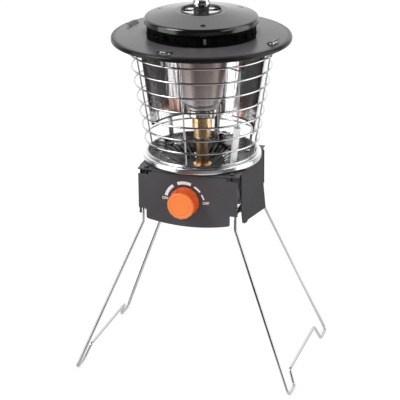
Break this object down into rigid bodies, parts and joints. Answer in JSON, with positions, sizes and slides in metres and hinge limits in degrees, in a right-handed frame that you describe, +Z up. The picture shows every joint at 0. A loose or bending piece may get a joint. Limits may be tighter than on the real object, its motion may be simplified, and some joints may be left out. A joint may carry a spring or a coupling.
{
  "type": "portable gas heater",
  "caption": "Table-top gas heater: a burner in a tapered wire guard under a round hood, on folding wire legs that straddle a gas cylinder.",
  "frame": {"origin": "on the table under the burner axis", "axes": "+Z up, the control knob faces -Y, +X to the right of someone who faces the knob"},
  "size_m": [0.255, 0.2, 0.4245],
  "materials": {
    "black_enamel": "gloss enamel",
    "black_paint": "satin powder coat",
    "matte_black": "heat-proof matte",
    "dark_enamel": "dark reflective enamel",
    "chrome": "bright plating",
    "polished_steel": "polished",
    "plain_steel": "plain",
    "burner_steel": "heat-tinted",
    "brass": "satin",
    "seal_rubber": "matte",
    "ceramic": "glazed",
    "orange_plastic": "satin-gloss moulding",
    "black_plastic": "matte moulding"
  },
  "bodies": {
    "heater": {"cap": "black_enamel", "hood": "black_enamel", "vent_collar": "matte_black", "heat_baffle": "matte_black", "cap_posts": "plain_steel", "cap_rivets": "black_enamel", "cap_grille": "chrome", "finial": "chrome", "finial_collar": "black_plastic", "finial_nut": "plain_steel", "guard_rings": "chrome", "guard_uprights": "chrome", "guard_hooks": "chrome", "base_ring": "chrome", "reflector": "polished_steel", "reflector_straps": "polished_steel", "burner_pan": "dark_enamel", "burner_head": "burner_steel", "burner_lid": "burner_steel", "burner_cup": "polished_steel", "tube_collar": "brass", "tube_sleeve": "brass", "mixing_tube": "brass", "tube_nut": "brass", "gas_jet": "brass", "igniter_clamp": "polished_steel", "spark_insulator": "ceramic", "spark_electrode": "plain_steel", "sensor_arm": "polished_steel", "flame_sensor": "plain_steel", "top_plate": "black_paint", "plate_screws": "plain_steel", "front_panel": "black_paint", "rear_panel": "black_paint", "side_panel_left": "black_paint", "side_panel_right": "black_paint", "leg_clips_left": "plain_steel", "leg_clips_right": "plain_steel", "gas_block": "brass", "gland_nut": "plain_steel", "spark_unit": "black_plastic", "cylinder_socket": "brass", "socket_probe": "brass", "socket_seal": "seal_rubber", "valve_strap": "plain_steel"},
    "left_leg": {"leg_left": "chrome"},
    "right_leg": {"leg_right": "chrome"},
    "control": {"knob": "orange_plastic", "valve_spindle": "brass"}
  },
  "joints": [
    {"name": "left_leg_hinge", "type": "hinge", "parent": "heater", "child": "left_leg", "pos_m": [-0.0536, 0, 0.1954], "axis": [0, 1, 0], "range_deg": [0, 144]},
    {"name": "right_leg_hinge", "type": "hinge", "parent": "heater", "child": "right_leg", "pos_m": [0.0536, 0, 0.1954], "axis": [0, -1, 0], "range_deg": [0, 144]},
    {"name": "knob_turn", "type": "hinge", "parent": "heater", "child": "control", "pos_m": [-0.0026, -0.0585, 0.208], "axis": [0, -1, 0], "range_deg": [0, 170]}
  ]
}
